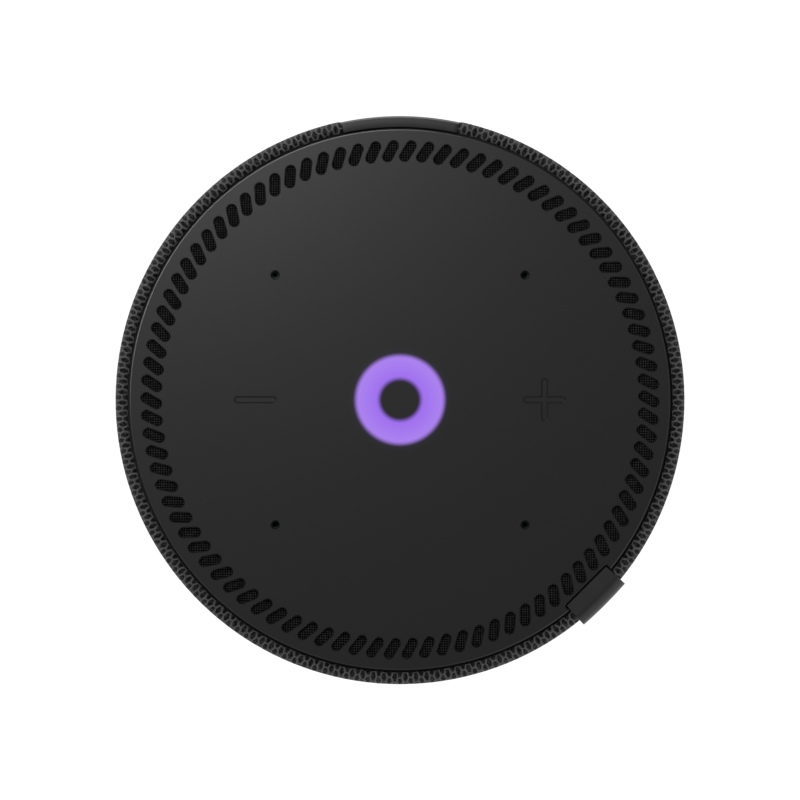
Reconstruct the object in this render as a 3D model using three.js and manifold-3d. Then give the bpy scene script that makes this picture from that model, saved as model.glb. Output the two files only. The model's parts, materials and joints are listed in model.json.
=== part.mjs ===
// Smart home hub: a fabric-wrapped cylinder with a slotted top plate, a light ring and raised volume marks.
// Millimetres, +Z up. The origin is the centre of the foot ring's underside. The front faces -Y and the
// rear spine, with the power inlet and the microphone mute button, faces +Y.

import * as THREE from "three";
import { mergeVertices } from "three/addons/utils/BufferGeometryUtils.js";
import Module from "manifold-3d";

const wasm = await Module();
wasm.setup();

// Driving dimensions.
const BODY_RADIUS = 65;
const BODY_HEIGHT = 165;
const GAP = 0.3;

// Facets round a full turn, by the size of the piece.
const SHELL_SEGMENTS = 56;
const INNER_SEGMENTS = 36;
const DRIVER_SEGMENTS = 20;
const SMALL_SEGMENTS = 8;

// Top plate: slots round the rim, microphone holes, raised marks and the notch for the tag.
const PLATE = { radius: 61.7, thickness: 1.8, chamfer: 0.25 };
const PLATE_BASE = BODY_HEIGHT - PLATE.thickness;
const DEGREE = THREE.MathUtils.DEG2RAD;
const SLOT = { count: 90, ring: 56.8, length: 5.1, width: 2.2, slant: 30 * DEGREE, phase: 0.2 * DEGREE };
const MIC = { offset: 28.5, radius: 0.95 };
const MARK = { offset: 33, length: 9.7, width: 1.6, height: 0.35, root: 0.5 };
const WINDOW_RADIUS = 10.9;
const RING = { outer: WINDOW_RADIUS - GAP, inner: 4.9 };

// Under the plate: the lens's hidden flange, the light well, the microphone board and what stands on it.
const LENS = { flange: 12.4, bottom: 162, shoulder: 162.9, floor: 163 };
const LIGHT_WELL = { inner: 11, outer: 12.2, bottom: 161, top: 161.8 };
const MIC_BOARD = { radius: 46, bottom: 159.2, top: 160.8, port: 0.6 };
const MIC_GASKET = { inner: 1.1, outer: 2.6, bottom: 161, height: 2 };
const TOUCH_SPRING = { radius: 2.6, wire: 0.25, turns: 2.5, bottom: 161.3, height: 1.3 };
const SLOT_MESH = { inner: 53.2, outer: 59.8, bottom: 162.5, top: 162.9 };

// The tag is a folded band over the rim, a flat strip set square to a radius at the front right.
const TAG = { angle: -Math.PI / 4, width: 13, inner: 60.2, outer: 65.95, drop: 16, band: 0.6 };

// Side shells, from the outside in.
const FABRIC = { inner: 63.5, lip: 62.2, top: 164.2, shoulder: 161.4, foot: 5.8, heel: 8.6, lipDepth: 1.5 };
const SPINE = { halfWidth: 13.55, outer: 64.8, top: 163.9, foot: 6.2, fillet: 0.5, lip: 1.2, rim: 1.2 };
const FRAME = { outer: 63.2, inner: 61.3, bottom: 7.6, top: 162.4 };
const WINDOWS = { columns: 10, pitch: 30 * DEGREE, rows: 2, low: 10, tall: 66, wide: 24, rib: 6 };

// Base.
const BASE = { radius: 62, bottom: 1.2, top: 5, grooveTop: 2.6, chamfer: 1.4 };
const FOOT = { inner: 46.5, outer: 56.5, height: 2.4 };
const BASE_SCREW = { ring: 51.5, seat: 3.7, length: 10 };
const DIAGONALS = [45, 135, 225, 315].map((degrees) => degrees * DEGREE);

// Acoustic enclosure: a round tub with a flat back that leaves a bay for the electronics.
const TUB = { outer: 57, inner: 54.5, flat: 38, wall: 2.5, bottom: 14, top: 138 };
const BAFFLE_TOP = 141;
const DRIVER_Y = -8;
const TWEETER = { height: 118, spread: 40 * DEGREE, seat: 55.6, flange: 14, bore: 10.3 };
const DECK = { hole: 9, inner: 47.8, outer: 49, bottom: 156.8, floor: 158.3, rim: 158.6, wall: 163 };
const HOOP = { inner: 59.6, outer: 61 };
const DECK_POSTS = [[48.5, -10], [-48.5, -10], [34, 27], [-34, 27]];

// Rear electronics.
const BOARD = { halfWidth: 30, front: 44, back: 45.6, bottom: 14, top: 124 };
const JACK = { height: 26, face: 59.3, noseRadius: 5.9, boreRadius: 3.25, wellRadius: 6.4 };
const RIBBON = { x: -20, halfWidth: 4, thickness: 0.3 };
const MUTE = { height: 138, radius: 4, face: BODY_RADIUS, stem: 2.2, plungerRadius: 1.4 };

// Cutting tools reach past the hub in every direction that they may leave it by.
const PAST_SIDE = 80;
const PAST_ENDS = [-20, 200];
const OVERCUT = 1;
const PILOT_RADIUS = 1.7;

// Finishes.
const finish = (color, roughness, metalness = 0) => {
  return new THREE.MeshStandardMaterial({ color, roughness, metalness });
};
const FINISH = {
  plate: () => finish(0x2c2c2d, 0.5),
  trim: () => finish(0x1d1d1e, 0.6),
  spine: () => finish(0x363637, 0.42),
  fabric: () => finish(0x3b3b3d, 0.95),
  tag: () => finish(0x2e2e2f, 0.7),
  mesh: () => finish(0x0c0c0c, 0.9),
  lens: () => finish(0xa070f0, 0.35),
  rubber: () => finish(0x1a1a1a, 0.9),
  housing: () => finish(0x242425, 0.65),
  white: () => finish(0xf0f0ee, 0.5),
  board: () => finish(0x1c4a2c, 0.5),
  steel: () => finish(0xa8a9ab, 0.35, 1),
  aluminium: () => finish(0xc4c5c7, 0.4, 1),
  ferrite: () => finish(0x2a2826, 0.7),
  paper: () => finish(0x202021, 0.85),
  cloth: () => finish(0xb08a52, 0.9),
  brass: () => finish(0xc8a458, 0.35, 1),
};

const hub = new THREE.Group();

// --- Solids -----------------------------------------------------------------------------------------------

// A closed geometry as a manifold-3d solid, without the flat faces that a lathe leaves at its poles.
function solid(geometry) {
  const source = geometry.index ? geometry.toNonIndexed() : geometry;
  const plain = new THREE.BufferGeometry().setAttribute("position", source.getAttribute("position"));
  const merged = mergeVertices(plain, 1e-4);
  const corners = merged.index.array;
  const faces = [];
  for (let i = 0; i < corners.length; i += 3) {
    const [a, b, c] = corners.slice(i, i + 3);
    if (a !== b && b !== c && c !== a) faces.push(a, b, c);
  }
  const vertProperties = new Float32Array(merged.attributes.position.array);
  return new wasm.Manifold(new wasm.Mesh({ numProp: 3, vertProperties, triVerts: new Uint32Array(faces) }));
}

// A solid as a geometry for a mesh.
function geometryOf(shape) {
  const mesh = shape.getMesh();
  const positions = new Float32Array(mesh.numVert * 3);
  for (let i = 0; i < mesh.numVert; i++) {
    positions.set(mesh.vertProperties.subarray(i * mesh.numProp, i * mesh.numProp + 3), i * 3);
  }
  const geometry = new THREE.BufferGeometry();
  geometry.setAttribute("position", new THREE.BufferAttribute(positions, 3));
  geometry.setIndex(new THREE.BufferAttribute(new Uint32Array(mesh.triVerts), 1));
  geometry.computeVertexNormals();
  return geometry;
}

// Turns a section of [radius, height] points about Z. A section that starts off the axis closes on itself.
function lathe(section, segments = SHELL_SEGMENTS) {
  const area = section.reduce((sum, [x, y], i) => {
    const [u, v] = section[(i + 1) % section.length];
    return sum + x * v - u * y;
  }, 0);
  const points = (area < 0 ? section.slice().reverse() : section).map(([r, z]) => new THREE.Vector2(r, z));
  if (points[0].x > 0) points.push(points[0].clone());
  return solid(new THREE.LatheGeometry(points, segments).rotateX(Math.PI / 2));
}

// A straight-sided ring between two radii and two heights.
function ring(inner, outer, bottom, top, segments) {
  return lathe([[inner, bottom], [outer, bottom], [outer, top], [inner, top]], segments);
}

function rod(radius, bottom, top, x = 0, y = 0, segments = SMALL_SEGMENTS) {
  const geometry = new THREE.CylinderGeometry(radius, radius, top - bottom, segments).rotateX(Math.PI / 2);
  return solid(geometry.translate(x, y, (bottom + top) / 2));
}

// A rod along Y, from front to back.
function rodY(radius, front, back, x, z, segments = SMALL_SEGMENTS) {
  const geometry = new THREE.CylinderGeometry(radius, radius, back - front, segments);
  return solid(geometry.translate(x, (front + back) / 2, z));
}

function block([x0, x1], [y0, y1], [z0, z1]) {
  const geometry = new THREE.BoxGeometry(x1 - x0, y1 - y0, z1 - z0);
  return solid(geometry.translate((x0 + x1) / 2, (y0 + y1) / 2, (z0 + z1) / 2));
}

// A flat outline raised from one height to another.
function prism(shape, bottom, top) {
  const geometry = new THREE.ExtrudeGeometry(shape, { depth: top - bottom, bevelEnabled: false });
  return geometry.translate(0, 0, bottom);
}

// A bar with round ends along X, centred on the origin.
function stadium(length, width) {
  const reach = (length - width) / 2;
  const right = arc([reach, 0], width / 2, width / 2, -90, 90, 3);
  const left = arc([-reach, 0], width / 2, width / 2, 90, 270, 3);
  return new THREE.Shape([...right, ...left].map(([x, y]) => new THREE.Vector2(x, y)));
}

// A band of one thickness that follows [along, up] points, as an outline in its own plane.
function bandShape(line, thickness) {
  const points = line.map(([x, y]) => new THREE.Vector2(x, y));
  const side = (i) => {
    const before = points[Math.max(i - 1, 0)];
    const after = points[Math.min(i + 1, points.length - 1)];
    const along = after.clone().sub(before).normalize();
    return new THREE.Vector2(-along.y, along.x).multiplyScalar(thickness / 2);
  };
  const left = points.map((p, i) => p.clone().add(side(i)));
  const right = points.map((p, i) => p.clone().sub(side(i)));
  return new THREE.Shape([...left, ...right.reverse()]);
}

// A quarter of an ellipse from angle a to angle b, in degrees, as [radius, height] points.
function arc([r, z], reach, rise, a, b, steps) {
  return Array.from({ length: steps + 1 }, (_, i) => {
    const turn = (a + ((b - a) * i) / steps) * DEGREE;
    return [r + reach * Math.cos(turn), z + rise * Math.sin(turn)];
  });
}

const turned = (shape, angle) => solid(geometryOf(shape).rotateZ(angle));
const subtractAll = (shape, tools) => tools.reduce((rest, tool) => rest.subtract(tool), shape);
const addAll = (shape, pieces) => pieces.reduce((whole, piece) => whole.add(piece), shape);

// Adds a named mesh to a group, the hub itself unless another is given.
function place(name, shape, material, group = hub) {
  const mesh = new THREE.Mesh(geometryOf(shape), material());
  mesh.name = name;
  group.add(mesh);
  return mesh;
}

function groupAt(x, y, z) {
  const group = new THREE.Group();
  group.position.set(x, y, z);
  hub.add(group);
  return group;
}

// --- Top ---------------------------------------------------------------------------------------------------

function topPlate() {
  const top = BODY_HEIGHT;
  const edge = PLATE.radius - PLATE.chamfer;
  const disc = lathe([
    [WINDOW_RADIUS, PLATE_BASE],
    [PLATE.radius, PLATE_BASE],
    [PLATE.radius, top - PLATE.chamfer],
    [edge, top],
    [WINDOW_RADIUS, top],
  ]);
  const slots = Array.from({ length: SLOT.count }, (_, i) => {
    const slot = prism(stadium(SLOT.length, SLOT.width), PLATE_BASE - OVERCUT, top + OVERCUT);
    slot.rotateZ(-SLOT.slant).translate(SLOT.ring, 0, 0);
    return solid(slot.rotateZ(SLOT.phase + (i * 2 * Math.PI) / SLOT.count));
  });
  const microphones = corners(MIC.offset).map(([x, y]) => {
    return rod(MIC.radius, PLATE_BASE - OVERCUT, top + OVERCUT, x, y);
  });
  const bar = (x, turn = 0) => {
    const raised = prism(stadium(MARK.length, MARK.width), top - MARK.root, top + MARK.height);
    return solid(raised.rotateZ(turn).translate(x, 0, 0));
  };
  const marks = [bar(-MARK.offset), bar(MARK.offset), bar(MARK.offset, Math.PI / 2)];
  const notchHalf = TAG.width / 2 + GAP;
  const notch = turned(block([TAG.inner - GAP, BODY_RADIUS], [-notchHalf, notchHalf], PAST_ENDS), TAG.angle);
  const cut = subtractAll(disc, [...slots, ...microphones, notch]);
  place("top_plate", addAll(cut, marks), FINISH.plate);
}

function corners(offset) {
  return [[1, 1], [-1, 1], [-1, -1], [1, -1]].map(([x, y]) => [x * offset, y * offset]);
}

function lightRing() {
  const { flange, bottom, shoulder, floor } = LENS;
  const lens = lathe([
    [0, bottom],
    [flange, bottom],
    [flange, shoulder],
    [RING.outer, shoulder],
    [RING.outer, BODY_HEIGHT],
    [RING.inner, BODY_HEIGHT],
    [RING.inner, floor],
    [0, floor],
  ], INNER_SEGMENTS);
  place("light_ring_lens", lens, FINISH.lens);
  place("centre_cap", rod(RING.inner - GAP, PLATE_BASE, BODY_HEIGHT, 0, 0, DRIVER_SEGMENTS), FINISH.plate);
  const well = ring(LIGHT_WELL.inner, LIGHT_WELL.outer, LIGHT_WELL.bottom, LIGHT_WELL.top, DRIVER_SEGMENTS);
  place("light_well", well, FINISH.white);
}

// A key spring that carries the touch sense from the board up to the plate.
function touchSpring(name, x) {
  const { radius, wire, turns, bottom, height } = TOUCH_SPRING;
  const steps = SMALL_SEGMENTS * turns;
  const points = Array.from({ length: steps + 1 }, (_, i) => {
    const turn = (i / steps) * turns * 2 * Math.PI;
    return new THREE.Vector3(radius * Math.cos(turn), radius * Math.sin(turn), (i / steps) * height);
  });
  const extrudePath = new THREE.CatmullRomCurve3(points);
  const section = new THREE.Shape().absarc(0, 0, wire, 0, 2 * Math.PI, false);
  const options = { steps, extrudePath, curveSegments: 2, bevelEnabled: false };
  const coil = new THREE.ExtrudeGeometry(section, options);
  place(name, solid(coil), FINISH.brass).position.set(x, 0, bottom);
}

function topElectronics() {
  const { radius, bottom, top, port } = MIC_BOARD;
  const ports = corners(MIC.offset).map(([x, y]) => rod(port, bottom - OVERCUT, top + OVERCUT, x, y));
  place("mic_board", subtractAll(rod(radius, bottom, top, 0, 0, INNER_SEGMENTS), ports), FINISH.board);
  corners(MIC.offset).forEach(([x, y], i) => {
    const gasket = ring(MIC_GASKET.inner, MIC_GASKET.outer, 0, MIC_GASKET.height, SMALL_SEGMENTS);
    place(`mic_gasket_${i + 1}`, gasket, FINISH.rubber).position.set(x, y, MIC_GASKET.bottom);
  });
  touchSpring("touch_spring_minus", -MARK.offset);
  touchSpring("touch_spring_plus", MARK.offset);
  const mesh = ring(SLOT_MESH.inner, SLOT_MESH.outer, SLOT_MESH.bottom, SLOT_MESH.top, INNER_SEGMENTS);
  place("slot_mesh_ring", mesh, FINISH.mesh);
}

// A dished carrier under the plate: floor, upright wall, outer hoop, arms, and posts down to the baffle.
function topDeck() {
  const { hole, inner, outer, bottom, floor, rim, wall } = DECK;
  const dish = lathe([
    [hole, bottom],
    [outer, bottom],
    [outer, wall],
    [inner, wall],
    [inner, floor],
    [hole, floor],
  ], INNER_SEGMENTS);
  const hoop = ring(HOOP.inner, HOOP.outer, bottom, rim, INNER_SEGMENTS);
  const arm = block([outer - 0.5, HOOP.inner + 0.4], [-3, 3], [bottom, rim]);
  const arms = DIAGONALS.map((turn) => turned(arm, turn));
  const sunk = floor - 0.5;
  const pads = corners(20).map(([x, y]) => rod(2, sunk, MIC_BOARD.bottom - 0.2, x, y));
  const posts = DECK_POSTS.map(([x, y]) => rod(4, BAFFLE_TOP + GAP, rim, x, y));
  const holes = DECK_POSTS.map(([x, y]) => rod(PILOT_RADIUS, BAFFLE_TOP - OVERCUT, rim + OVERCUT, x, y));
  const pockets = DECK_POSTS.map(([x, y]) => rod(3.2, sunk, wall, x, y));
  const slotHalf = RIBBON.halfWidth + 1;
  const upwards = [bottom - OVERCUT, wall + OVERCUT];
  const ribbonSlot = block([RIBBON.x - slotHalf, RIBBON.x + slotHalf], [40, 51], upwards);
  const body = addAll(dish, [hoop, ...arms, ...posts, ...pads]);
  place("top_deck", subtractAll(body, [...holes, ...pockets, ribbonSlot]), FINISH.housing);
}

// --- Side --------------------------------------------------------------------------------------------------

// The rolled edges of the fabric, closed inside by the lips that tuck over the frame.
function fabricSection() {
  const crown = [FABRIC.lip + 0.4, FABRIC.shoulder];
  const heel = [FABRIC.lip + 0.6, FABRIC.heel];
  return [
    ...arc(heel, BODY_RADIUS - heel[0], FABRIC.heel - FABRIC.foot, -90, 0, 3),
    ...arc(crown, BODY_RADIUS - crown[0], FABRIC.top - FABRIC.shoulder, 0, 90, 3),
    [FABRIC.lip, FABRIC.top - FABRIC.lipDepth],
    [FABRIC.inner, FABRIC.top - FABRIC.lipDepth],
    [FABRIC.inner, FABRIC.foot + FABRIC.lipDepth],
    [FABRIC.lip, FABRIC.foot + FABRIC.lipDepth],
  ];
}

function fabricSleeve() {
  const opening = SPINE.halfWidth + GAP;
  const gap = block([-opening, opening], [0, PAST_SIDE], PAST_ENDS);
  place("fabric_sleeve", lathe(fabricSection()).subtract(gap), FINISH.fabric);
}

function rearSpine() {
  const { outer, top, foot, fillet, lip, rim } = SPINE;
  const strip = lathe([
    [FABRIC.lip, foot],
    ...arc([outer - fillet, foot + fillet], fillet, fillet, -90, 0, 2),
    ...arc([outer - fillet, top - fillet], fillet, fillet, 0, 90, 2),
    [FABRIC.lip, top],
    [FABRIC.lip, top - lip],
    [FABRIC.inner, top - lip],
    [FABRIC.inner, foot + lip],
    [FABRIC.lip, foot + lip],
  ]);
  const width = block([-SPINE.halfWidth, SPINE.halfWidth], [0, PAST_SIDE], PAST_ENDS);
  const well = rodY(JACK.wellRadius + rim, JACK.face + 0.4, outer - 0.6, 0, JACK.height, DRIVER_SEGMENTS);
  const body = strip.intersect(width).add(well);
  place("rear_spine", subtractAll(body, [
    rodY(JACK.wellRadius, BOARD.back, PAST_SIDE, 0, JACK.height, DRIVER_SEGMENTS),
    rodY(MUTE.radius + GAP, BOARD.back, PAST_SIDE, 0, MUTE.height, DRIVER_SEGMENTS),
  ]), FINISH.spine);
}

// A rigid cage that holds the fabric out. Its windows let the drivers play through.
function grilleFrame() {
  const { outer, inner, bottom, top } = FRAME;
  const { columns, pitch, rows, low, tall, wide, rib } = WINDOWS;
  const shell = lathe([
    [inner, bottom], [outer, bottom], [outer, top], [inner, top],
    [inner, DECK.bottom - GAP], [inner - 2.4, DECK.bottom - GAP], [inner - 2.4, DECK.bottom - 1.2],
    [inner, DECK.bottom - 3.6],
  ], INNER_SEGMENTS);
  const windows = [];
  for (let column = 0; column < columns; column++) {
    for (let row = 0; row < rows; row++) {
      const sill = low + row * (tall + rib);
      const tool = block([50, PAST_SIDE], [-wide / 2, wide / 2], [sill, sill + tall]);
      windows.push(turned(tool, Math.PI / 2 + (column + 1.5) * pitch));
    }
  }
  place("grille_frame", subtractAll(shell, [
    ...windows,
    rodY(JACK.wellRadius + SPINE.rim + GAP, BOARD.back, PAST_SIDE, 0, JACK.height, SMALL_SEGMENTS * 2),
    rodY(MUTE.radius + 2 * GAP, BOARD.back, PAST_SIDE, 0, MUTE.height, SMALL_SEGMENTS * 2),
  ]), FINISH.housing);
}

// The band rises inside the rim, turns over the fabric's edge and hangs down the side, folded double.
function sideTag() {
  const { inner, outer, drop, band, width, angle } = TAG;
  const top = BODY_HEIGHT - band / 2;
  const inside = inner + band / 2;
  const outside = outer - band / 2;
  const bend = 1.6;
  const line = [
    [inside, FRAME.top + GAP],
    ...arc([inside + 0.4, top - 0.4], 0.4, 0.4, 180, 90, 2),
    ...arc([outside - bend, top - bend], bend, bend, 90, 0, 4),
    [outside, top - drop],
  ];
  const outline = prism(bandShape(line, band), -width / 2, width / 2).rotateX(Math.PI / 2);
  place("side_tag", solid(outline), FINISH.tag).rotation.z = angle;
}

// --- Base --------------------------------------------------------------------------------------------------

const baseScrewPlaces = DIAGONALS.map((turn) => {
  return [BASE_SCREW.ring * Math.cos(turn), BASE_SCREW.ring * Math.sin(turn)];
});

function base() {
  const { radius, bottom, top, grooveTop, chamfer } = BASE;
  const plate = lathe([
    [0, bottom],
    [FOOT.inner - GAP, bottom],
    [FOOT.inner - GAP, grooveTop],
    [FOOT.outer + GAP, grooveTop],
    [FOOT.outer + GAP, bottom],
    [radius - chamfer, bottom],
    [radius, bottom + chamfer],
    [radius, top],
    [0, top],
  ], INNER_SEGMENTS);
  const heads = baseScrewPlaces.map(([x, y]) => rod(3.2, bottom, BASE_SCREW.seat + 0.2, x, y));
  const holes = baseScrewPlaces.map(([x, y]) => rod(PILOT_RADIUS, bottom, top + OVERCUT, x, y));
  place("base_plate", subtractAll(plate, [...heads, ...holes]), FINISH.trim);
  place("foot_ring", lathe([
    [FOOT.inner, 0.3], [FOOT.inner + 0.3, 0], [FOOT.outer - 0.3, 0], [FOOT.outer, 0.3],
    [FOOT.outer, FOOT.height], [FOOT.inner, FOOT.height],
  ], INNER_SEGMENTS), FINISH.rubber);
}

// A pan-head screw with its seat at height 0 and its shank downwards.
function screw(name, x, y, z, length, flip = false) {
  const shank = 1.35;
  const section = [[0, -length], [shank, -length], [shank, 0], [2.7, 0], [2.4, 1.15], [0, 1.15]];
  const shape = lathe(section, SMALL_SEGMENTS);
  const long = [-1.5, 1.5];
  const thin = [-0.35, 0.35];
  const deep = [0.5, 3];
  const socket = block(long, thin, deep).add(block(thin, long, deep));
  const mesh = place(name, shape.subtract(socket), FINISH.steel);
  mesh.position.set(x, y, z);
  if (flip) mesh.rotation.x = Math.PI;
}

function screws() {
  baseScrewPlaces.forEach(([x, y], i) => {
    screw(`base_screw_${i + 1}`, x, y, BASE_SCREW.seat, BASE_SCREW.length, true);
  });
  DECK_POSTS.forEach(([x, y], i) => screw(`deck_screw_${i + 1}`, x, y, DECK.floor - 0.4, 24));
}

// --- Enclosure ---------------------------------------------------------------------------------------------

function tweeterGroup(side) {
  const group = groupAt(0, 0, TWEETER.height);
  group.rotation.z = side * TWEETER.spread;
  const facing = new THREE.Group();
  facing.position.y = -TWEETER.seat;
  facing.rotation.x = Math.PI / 2;
  group.add(facing);
  return facing;
}

function enclosure() {
  const { outer, inner, flat, wall, bottom, top } = TUB;
  // A round slab with its back cut flat.
  const full = (radius, low, high, back) => {
    const behind = block([-PAST_SIDE, PAST_SIDE], [back, PAST_SIDE], PAST_ENDS);
    return rod(radius, low, high, 0, 0, INNER_SEGMENTS).subtract(behind);
  };
  const outside = full(outer, bottom, top, flat);
  const inside = full(inner, bottom + wall, top + OVERCUT, flat - wall);
  const across = (radius, near, far, side) => {
    const tool = rodY(radius, near, far, 0, TWEETER.height, DRIVER_SEGMENTS);
    return turned(tool, side * TWEETER.spread);
  };
  const seats = [-1, 1].map((side) => across(TWEETER.flange + 2, -TWEETER.seat, -51, side));
  const recesses = [-1, 1].map((side) => across(TWEETER.flange + GAP, -PAST_SIDE, -TWEETER.seat, side));
  const bores = [-1, 1].map((side) => across(TWEETER.bore, -PAST_SIDE, -45, side));
  const legTrim = block([-PAST_SIDE, PAST_SIDE], [flat, PAST_SIDE], [bottom, bottom + wall + OVERCUT]);
  const legs = baseScrewPlaces.map(([x, y]) => {
    return rod(4.2, BASE.top + GAP, bottom + wall, x * 0.985, y * 0.985).subtract(legTrim);
  });
  const pilots = baseScrewPlaces.map(([x, y]) => rod(PILOT_RADIUS, 0, bottom + 1.5, x, y));
  const boardPlaces = [-25, 25].flatMap((x) => [20, 118].map((z) => [x, z]));
  const standoffs = boardPlaces.map(([x, z]) => rodY(3, flat - OVERCUT, BOARD.front - GAP, x, z));
  const opening = rod(34, 0, 30, 0, DRIVER_Y, DRIVER_SEGMENTS);
  const body = addAll(outside.subtract(inside), [...seats, ...legs, ...standoffs]);
  place("speaker_tub", subtractAll(body, [...recesses, ...bores, ...pilots, opening]), FINISH.housing);

  const lid = full(outer, top + 0.8, BAFFLE_TOP, flat);
  const bosses = DECK_POSTS.map(([x, y]) => rod(3.8, top - 10, top + 1, x, y));
  const through = [top - 8, BAFFLE_TOP + OVERCUT];
  const threads = DECK_POSTS.map(([x, y]) => rod(PILOT_RADIUS, ...through, x, y));
  const mouth = rod(35, ...through, 0, DRIVER_Y, DRIVER_SEGMENTS);
  place("baffle", subtractAll(addAll(lid, bosses), [...threads, mouth]), FINISH.housing);
  const inset = 0.2;
  const seal = full(outer - inset, top + 0.1, top + 0.7, flat - inset);
  const hollow = full(inner + inset, ...PAST_ENDS, flat - wall + inset);
  place("baffle_gasket", seal.subtract(hollow), FINISH.rubber);
}

// A half-roll edge between two radii, bulging up from height 0, with a flat land on each side.
function halfRoll(inner, outer, land) {
  const middle = (inner + outer) / 2;
  const reach = (outer - inner) / 2;
  const thick = 0.5;
  return lathe([
    [inner - land, 0], ...arc([middle, 0], reach, reach, 180, 0, 5), [outer + land, 0],
    [outer + land, thick], ...arc([middle, thick], reach + thick, reach, 0, 180, 5), [inner - land, thick],
  ], DRIVER_SEGMENTS);
}

// Heights are from the baffle's top face. The cone, dust cap and coil move together.
function woofer() {
  const group = groupAt(0, DRIVER_Y, BAFFLE_TOP);
  const turn = (section) => lathe(section, DRIVER_SEGMENTS);
  const basket = turn([
    [34, GAP], [40, GAP], [40, 2.2], [33, 2.2], [32.4, 1], [23, -17.6], [23, -21.9], [11.6, -21.9],
    [11.6, -23.4], [24.4, -23.4], [24.4, -17.6],
  ]);
  const windows = [0, 1, 2, 3].map((i) => {
    const tool = block([20, 40], [-9, 9], [-15.5, -4]);
    return turned(tool, ((i + 0.5) * Math.PI) / 2);
  });
  place("woofer_basket", subtractAll(basket, windows), FINISH.steel, group);
  place("woofer_surround", halfRoll(27.4, 33.4, 1.4), FINISH.rubber, group).position.z = 2.5;
  place("woofer_cone", turn([[10.6, -12], [27, 2.2], [26, 2.2], [10.6, -11.2]]), FINISH.paper, group);
  place("woofer_dust_cap", turn([
    [0, -7.2], ...arc([0, -11], 10.4, 3.8, 90, 0, 3).slice(1),
    ...arc([0, -11], 9.8, 3.2, 0, 90, 3).slice(0, -1), [0, -7.8],
  ]), FINISH.paper, group);
  place("voice_coil", ring(9.6, 10.2, -31, -11.4, DRIVER_SEGMENTS), FINISH.brass, group);
  place("woofer_spider", turn([
    [10.5, -17], [13, -16.2], [15.5, -17.8], [18, -16.2], [20.5, -17.8], [22.7, -17],
    [22.7, -16.5], [20.5, -17.3], [18, -15.7], [15.5, -17.3], [13, -15.7], [10.5, -16.5],
  ]), FINISH.cloth, group);
  place("woofer_washer", ring(11.2, 24, -27.6, -23.7, DRIVER_SEGMENTS), FINISH.steel, group);
  place("woofer_magnet", ring(13, 26, -38, -27.9, DRIVER_SEGMENTS), FINISH.ferrite, group);
  place("woofer_yoke", turn([
    [0, -42.5], [24, -42.5], [24, -38.3], [8.8, -38.3], [8.8, -23.9], [0, -23.9],
  ]), FINISH.steel, group);
}

// Heights are from the tub floor's lower face, downwards. The cone and its weight move together.
function radiator() {
  const group = groupAt(0, DRIVER_Y, TUB.bottom);
  group.rotation.x = Math.PI;
  place("radiator_frame", ring(33, 41, GAP, 2, DRIVER_SEGMENTS), FINISH.housing, group);
  place("radiator_surround", halfRoll(25.6, 31.6, 1.2), FINISH.rubber, group).position.z = 1.2;
  place("radiator_cone", rod(25.2, -0.4, 0.6, 0, 0, DRIVER_SEGMENTS), FINISH.paper, group);
  place("radiator_weight", ring(3, 14, -4, -0.7, DRIVER_SEGMENTS), FINISH.steel, group);
}

// Heights are outwards from the tweeter's seat.
function tweeters() {
  [["left", -1], ["right", 1]].forEach(([name, side]) => {
    const group = tweeterGroup(side);
    const segments = SMALL_SEGMENTS * 2;
    place(`tweeter_frame_${name}`, ring(9.6, TWEETER.flange, GAP, 1.6, segments), FINISH.housing, group);
    place(`tweeter_dome_${name}`, lathe([
      [0, 2.1], ...arc([0, 0.4], 8.8, 1.7, 90, 0, 3).slice(1),
      ...arc([0, 0.4], 9.2, 2.2, 0, 90, 3).slice(0, -1), [0, 2.6],
    ], segments), FINISH.cloth, group);
    place(`tweeter_motor_${name}`, rod(9.8, -10, 0, 0, 0, segments), FINISH.steel, group);
  });
}

// --- Rear bay ----------------------------------------------------------------------------------------------

function rearElectronics() {
  const { halfWidth, front, back, bottom, top } = BOARD;
  place("main_board", block([-halfWidth, halfWidth], [front, back], [bottom, top]), FINISH.board);
  place("shield_can", block([-14, 12], [back + 0.2, back + 3], [66, 92]), FINISH.steel);
  const tall = [42, 60];
  const fins = [-10, -6, -2, 2, 6, 10].map((x) => block([x - 0.8, x + 0.8], [back + 1.8, back + 8], tall));
  place("heat_sink", addAll(block([-12, 12], [back + 0.2, back + 2.2], tall), fins), FINISH.aluminium);
  place("radio_module", block([18, 24], [back + 0.2, back + 2.4], [98, 116]), FINISH.board);

  const jackBack = JACK.face - 2.2;
  const half = 5.5;
  const shell = block([-half, half], [back + 0.2, jackBack], [JACK.height - half, JACK.height + half]);
  const nose = rodY(JACK.noseRadius, jackBack - 0.5, JACK.face, 0, JACK.height, DRIVER_SEGMENTS);
  const bore = rodY(JACK.boreRadius, 48, PAST_SIDE, 0, JACK.height, DRIVER_SEGMENTS);
  place("power_jack", shell.add(nose).subtract(bore), FINISH.trim);
  place("power_jack_pin", rodY(1, 48.2, JACK.face - 0.8, 0, JACK.height), FINISH.brass);
}

// The button's stem presses the switch's plunger. Both move towards -Y.
function muteButton() {
  const { height, radius, face, stem, plungerRadius } = MUTE;
  const cap = rodY(radius, face - 2.4, face, 0, height, DRIVER_SEGMENTS);
  const tail = rodY(stem, 50.6, face - 2, 0, height);
  place("mute_button", cap.add(tail), FINISH.spine);
  const body = block([-3, 3], [BOARD.back + 0.2, 49.3], [height - 3, height + 3]);
  place("mute_switch", body.subtract(rodY(plungerRadius + 0.2, 47, 52, 0, height)), FINISH.trim);
  place("mute_switch_plunger", rodY(plungerRadius, 47.9, 50.4, 0, height), FINISH.white);
  const carrier = block([-8, 8], [BOARD.front, BOARD.back], [BOARD.top + 2, height + 7]);
  place("switch_board", carrier, FINISH.board);
}

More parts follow.
